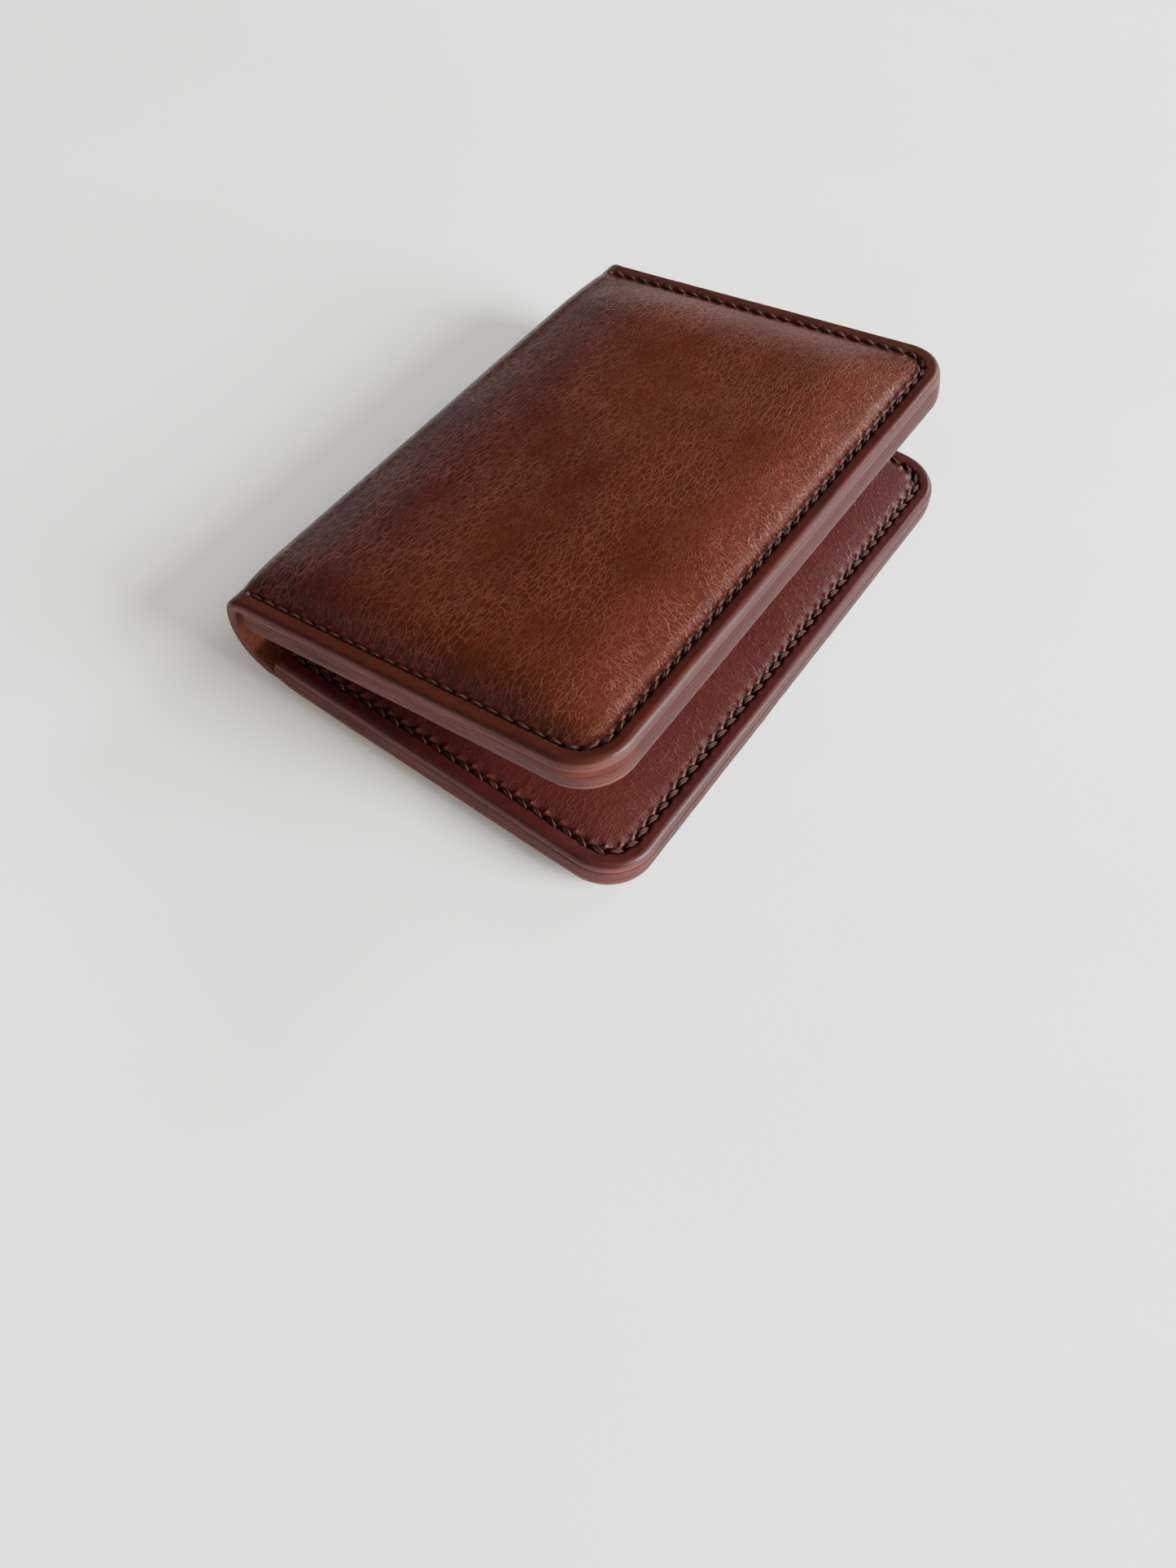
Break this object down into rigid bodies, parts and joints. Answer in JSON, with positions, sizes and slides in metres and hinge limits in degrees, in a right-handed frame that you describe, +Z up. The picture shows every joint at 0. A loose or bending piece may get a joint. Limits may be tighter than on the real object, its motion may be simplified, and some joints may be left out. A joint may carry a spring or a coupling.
{
  "type": "business card case",
  "caption": "Folding leather business card case with domed covers, a wrapped flexible spine and stitched card pockets open towards the spine.",
  "frame": {"origin": "under the middle of the case, on the plane it rests on", "axes": "+X from the spine to the fore edge, +Y along the spine, +Z up"},
  "size_m": [0.0758, 0.104, 0.0317],
  "materials": {
    "cover_leather": "semi-gloss aniline leather, reddish brown",
    "spine_leather": "semi-gloss aniline leather, oxblood, rough brown flesh side within",
    "lining_leather": "satin, orange brown",
    "edge_leather": "burnished gloss, grey brown",
    "pocket_leather": "smooth satin, deep oxblood",
    "padding": "matt felt",
    "thread": "waxed thread, dark brown"
  },
  "bodies": {
    "back": {"cover_back": "cover_leather", "padding_back": "padding", "lining_back": "lining_leather", "welt_back_near": "edge_leather", "welt_back_fore": "edge_leather", "welt_back_far": "edge_leather", "pocket_back": "pocket_leather", "stitching_back": "thread"},
    "spine_lower": {"cover_spine_lower": "spine_leather"},
    "spine_middle": {"cover_spine_middle": "spine_leather"},
    "spine_upper": {"cover_spine_upper": "spine_leather"},
    "front": {"cover_front": "cover_leather", "padding_front": "padding", "lining_front": "lining_leather", "welt_front_near": "edge_leather", "welt_front_fore": "edge_leather", "welt_front_far": "edge_leather", "pocket_front": "pocket_leather", "stitching_front": "thread"}
  },
  "joints": [
    {"name": "fold_back", "type": "hinge", "parent": "back", "child": "spine_lower", "pos_m": [-0.03048, 0, 0.002], "axis": [0, -1, 0], "range_deg": [-3.5, 41.5]},
    {"name": "fold_spine_low", "type": "hinge", "parent": "spine_lower", "child": "spine_middle", "pos_m": [-0.0373, 0, 0.00818], "axis": [0, -1, 0], "range_deg": [-3.5, 41.5]},
    {"name": "fold_spine_high", "type": "hinge", "parent": "spine_middle", "child": "spine_upper", "pos_m": [-0.0379, 0, 0.0142], "axis": [0, -1, 0], "range_deg": [-3.5, 41.5]},
    {"name": "fold_front", "type": "hinge", "parent": "spine_upper", "child": "front", "pos_m": [-0.03493, 0, 0.01822], "axis": [0, -1, 0], "range_deg": [-3.5, 41.5]}
  ],
  "couplings": [
    {"joint": "fold_spine_low", "follows": "fold_back", "ratio": 1},
    {"joint": "fold_spine_high", "follows": "fold_back", "ratio": 1},
    {"joint": "fold_front", "follows": "fold_back", "ratio": 1}
  ]
}
